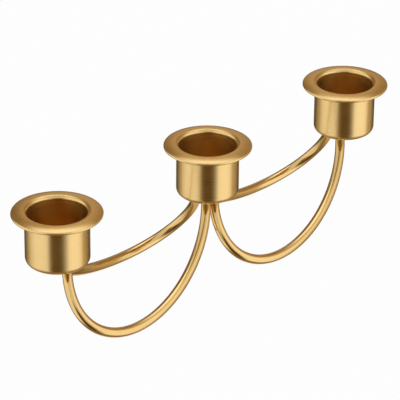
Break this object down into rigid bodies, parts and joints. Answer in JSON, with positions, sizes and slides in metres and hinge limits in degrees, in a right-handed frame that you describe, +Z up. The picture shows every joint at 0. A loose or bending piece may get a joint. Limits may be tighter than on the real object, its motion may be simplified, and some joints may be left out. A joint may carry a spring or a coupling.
{
  "type": "candelabra",
  "caption": "Low brass taper candelabra: flanged candle cups in a straight row, joined and carried by round rods bent into splayed arches that serve as feet.",
  "frame": {"origin": "on the table, under the middle of the bounding box, which is under the middle cup to within 2 mm", "axes": "+X along the row of cups, from the left cup to the right cup as seen from the front; +Y to the back; +Z up, along the candles"},
  "size_m": [0.1992, 0.0526, 0.0518],
  "materials": {
    "brass": "satin, brushed by hand, lacquered"
  },
  "bodies": {
    "root": {"cup_left": "brass", "cup_middle": "brass", "cup_right": "brass", "rod_front_left": "brass", "rod_back_left": "brass", "rod_front_right": "brass", "rod_back_right": "brass"}
  },
  "joints": []
}
